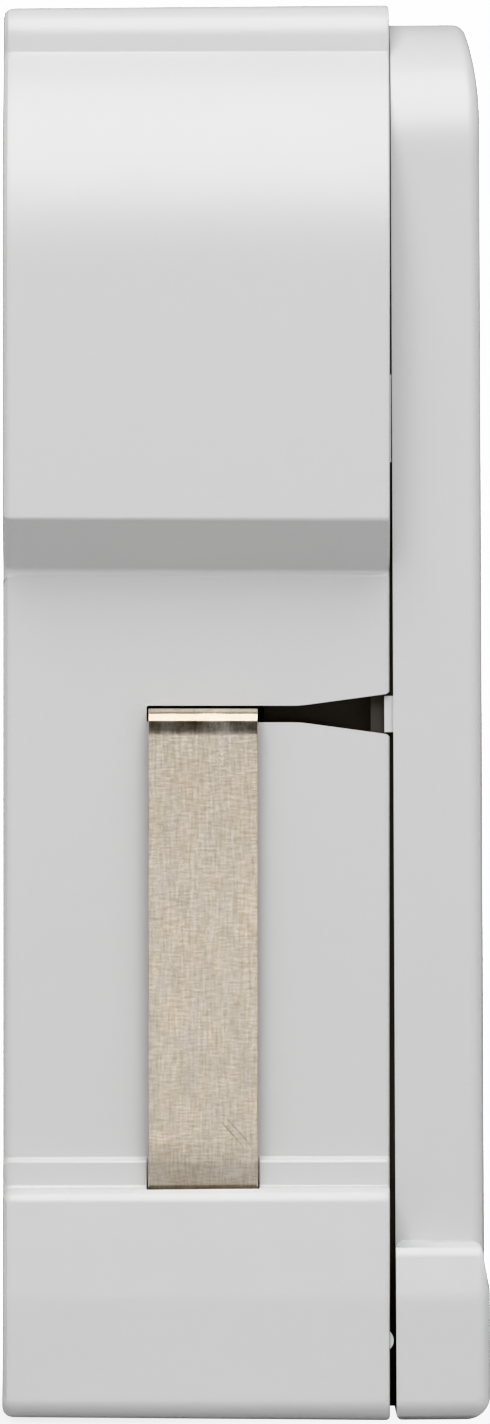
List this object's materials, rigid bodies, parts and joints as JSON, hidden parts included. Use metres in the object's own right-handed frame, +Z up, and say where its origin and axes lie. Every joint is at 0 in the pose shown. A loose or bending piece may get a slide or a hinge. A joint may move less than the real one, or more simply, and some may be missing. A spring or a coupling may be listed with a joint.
{
  "type": "door contact sensor",
  "caption": "Slim battery-powered door contact sensor: moulded rear housing and front cover, with a sprung metal leaf in a side recess that works an inner snap switch.",
  "frame": {"origin": "centre of the flat back face that sits on the wall or frame", "axes": "+Z up along the length, +Y out of the back face into the wall, -Y out of the front cover, the sprung leaf on the -X side"},
  "size_m": [0.0342, 0.0245, 0.071],
  "materials": {
    "white_abs": "moulded, fine satin",
    "black_abs": "moulded, matt",
    "nickel_spring_steel": "rolled strip, nickel plated, fine brushed grain",
    "zinc_steel": "bright zinc plated",
    "white_acetal": "moulded, waxy",
    "red_acetal": "moulded, waxy",
    "black_nylon": "moulded, matt",
    "tinned_brass": "tinned",
    "green_laminate": "solder mask over glass laminate",
    "tinned_shield": "tin plated sheet",
    "moulded_epoxy": "moulded epoxy",
    "ceramic_chips": "fired ceramic with tinned ends",
    "clear_polycarbonate": "clear, frosted end",
    "nickel_can": "nickel plated steel",
    "cell_wrap": "shrunk plastic film"
  },
  "bodies": {
    "housing": {"rear_housing": "white_abs", "inner_chassis": "black_abs", "leaf_clamp": "zinc_steel", "clamp_screw": "zinc_steel", "chassis_screws": "zinc_steel", "board_screws": "zinc_steel", "switch_case": "black_nylon", "switch_terminals": "tinned_brass", "circuit_board": "green_laminate", "radio_board": "green_laminate", "radio_shield": "tinned_shield", "control_chip": "moulded_epoxy", "crystal_can": "tinned_shield", "board_parts": "ceramic_chips", "antenna_strip": "tinned_brass", "status_led": "clear_polycarbonate", "pair_switch": "black_nylon", "battery_can": "nickel_can", "battery_sleeve": "cell_wrap", "battery_cap": "nickel_can", "contact_plus": "nickel_can", "contact_minus": "nickel_can"},
    "cover": {"front_cover": "white_abs", "light_pipe": "clear_polycarbonate"},
    "leaf": {"actuator_leaf": "nickel_spring_steel"},
    "pin": {"push_pin": "white_acetal"},
    "switch_plunger": {"switch_button": "red_acetal"},
    "pair_plunger": {"pair_button": "white_acetal"}
  },
  "joints": [
    {"name": "cover_swing", "type": "hinge", "parent": "housing", "child": "cover", "pos_m": [0, -0.0194, 0.03462], "axis": [-1, 0, 0], "range_deg": [-0.08, 65]},
    {"name": "leaf_press", "type": "hinge", "parent": "housing", "child": "leaf", "pos_m": [-0.01455, -0.01005, -0.0003], "axis": [0, -1, 0], "range_deg": [0, 0.8], "stiffness_Nm_per_rad": 0.5, "springref_deg": -0.69},
    {"name": "pin_slide", "type": "slide", "parent": "housing", "child": "pin", "axis": [1, 0, 0], "range_m": [0, 0.0002]},
    {"name": "switch_travel", "type": "slide", "parent": "housing", "child": "switch_plunger", "axis": [1, 0, 0], "range_m": [0, 0.00015]},
    {"name": "pair_press", "type": "slide", "parent": "housing", "child": "pair_plunger", "axis": [0, 1, 0], "range_m": [0, 0.00025], "stiffness_N_per_m": 4000, "springref_m": -0.0001}
  ],
  "couplings": [
    {"joint": "pin_slide", "follows": "leaf_press", "m_per_rad": 0.014},
    {"joint": "switch_travel", "follows": "leaf_press", "m_per_rad": 0.01}
  ]
}
